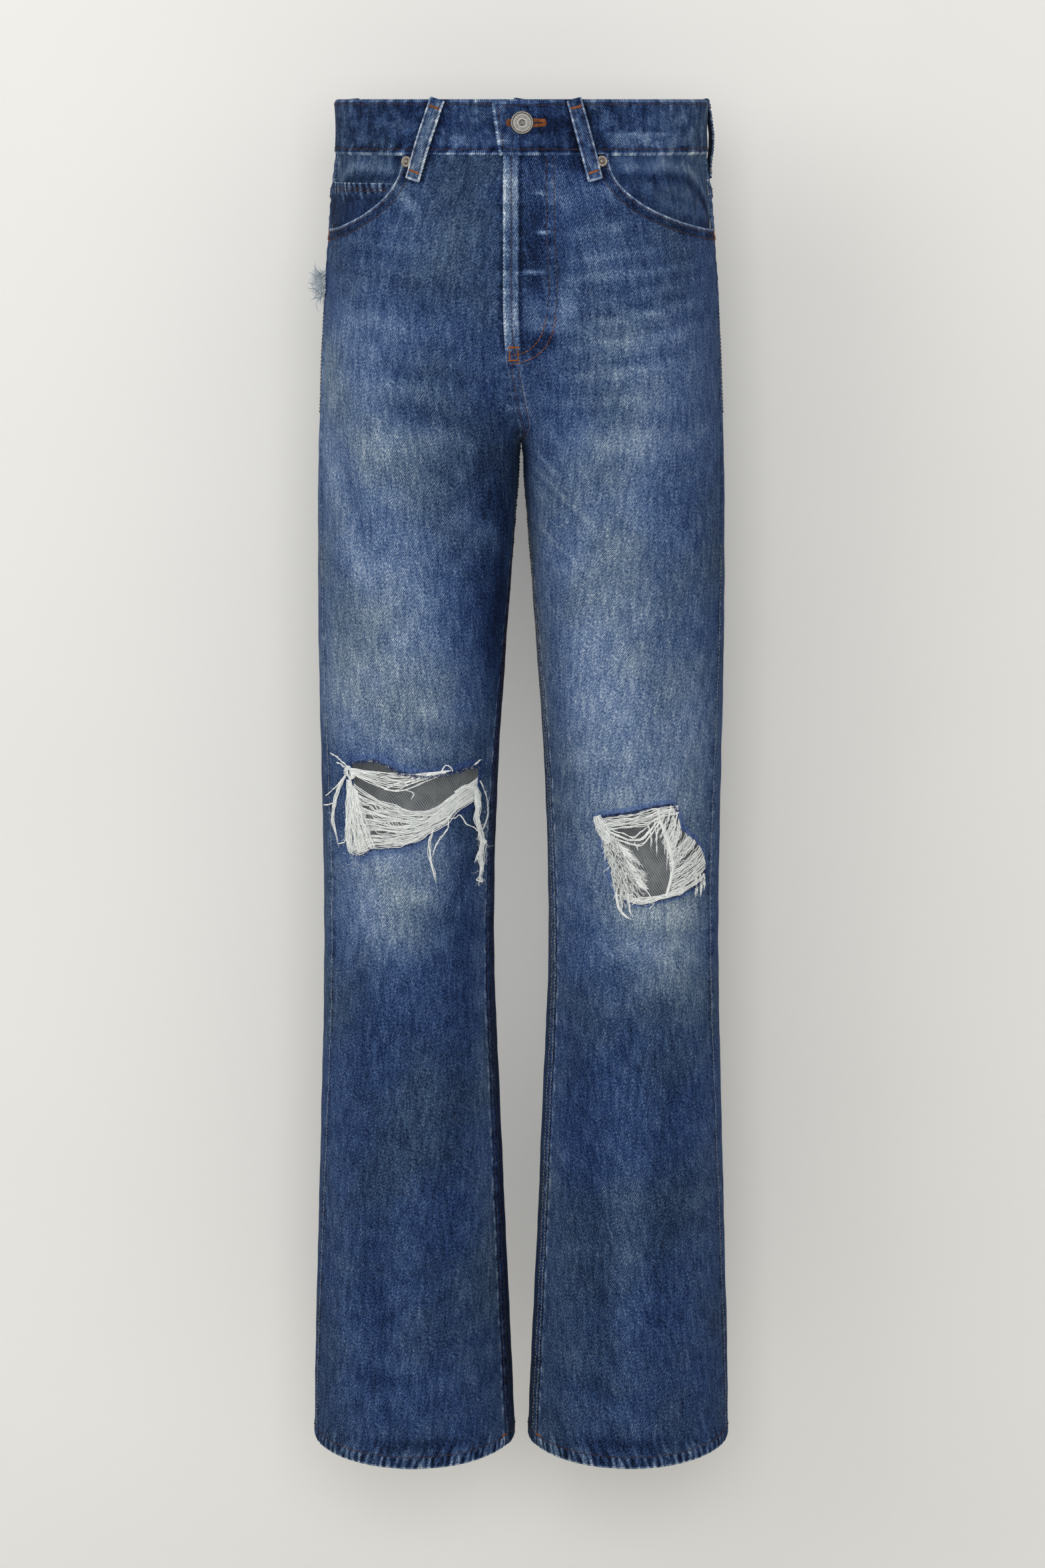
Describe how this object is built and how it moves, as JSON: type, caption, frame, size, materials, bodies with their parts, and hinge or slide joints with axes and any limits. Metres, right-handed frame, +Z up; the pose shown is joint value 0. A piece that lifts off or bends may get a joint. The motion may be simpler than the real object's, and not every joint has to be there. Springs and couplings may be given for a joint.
{
  "type": "ripped denim jeans",
  "caption": "Straight-leg washed blue denim jeans with torn knees and loose white threads, hollow and filled out as if worn.",
  "frame": {"origin": "the middle of the waist opening, level with the top of the waistband, where the wearer holds the jeans up", "axes": "+Z up along the legs towards the waist; -Y is the front, with the fly; +X is the wearer's left"},
  "size_m": [0.3572, 0.2228, 1.1444],
  "materials": {
    "denim_washed": "washed indigo denim twill, faded pale on the thighs and knees",
    "denim_band": "washed indigo denim twill with worn pale edges",
    "denim_dark": "less faded indigo denim twill",
    "white_threads": "loose undyed cotton yarn",
    "button_metal": "worn nickel",
    "rivet_metal": "worn pale copper nickel"
  },
  "bodies": {
    "root": {"back_left": "denim_washed", "back_pocket_left": "denim_washed", "back_pocket_right": "denim_washed", "back_right": "denim_washed", "belt_loop_back": "denim_band", "belt_loop_front_left": "denim_band", "belt_loop_front_right": "denim_band", "belt_loop_side_left": "denim_band", "belt_loop_side_right": "denim_band", "button": "button_metal", "coin_pocket": "denim_dark", "fly_placket": "denim_dark", "front_left": "denim_washed", "front_right": "denim_washed", "hip_fray": "white_threads", "pocket_facing_left": "denim_dark", "pocket_facing_right": "denim_dark", "rip_threads_left": "white_threads", "rip_threads_right": "white_threads", "rivet_left": "rivet_metal", "rivet_right": "rivet_metal", "waistband": "denim_band", "yoke_left": "denim_washed", "yoke_right": "denim_washed"}
  },
  "joints": []
}
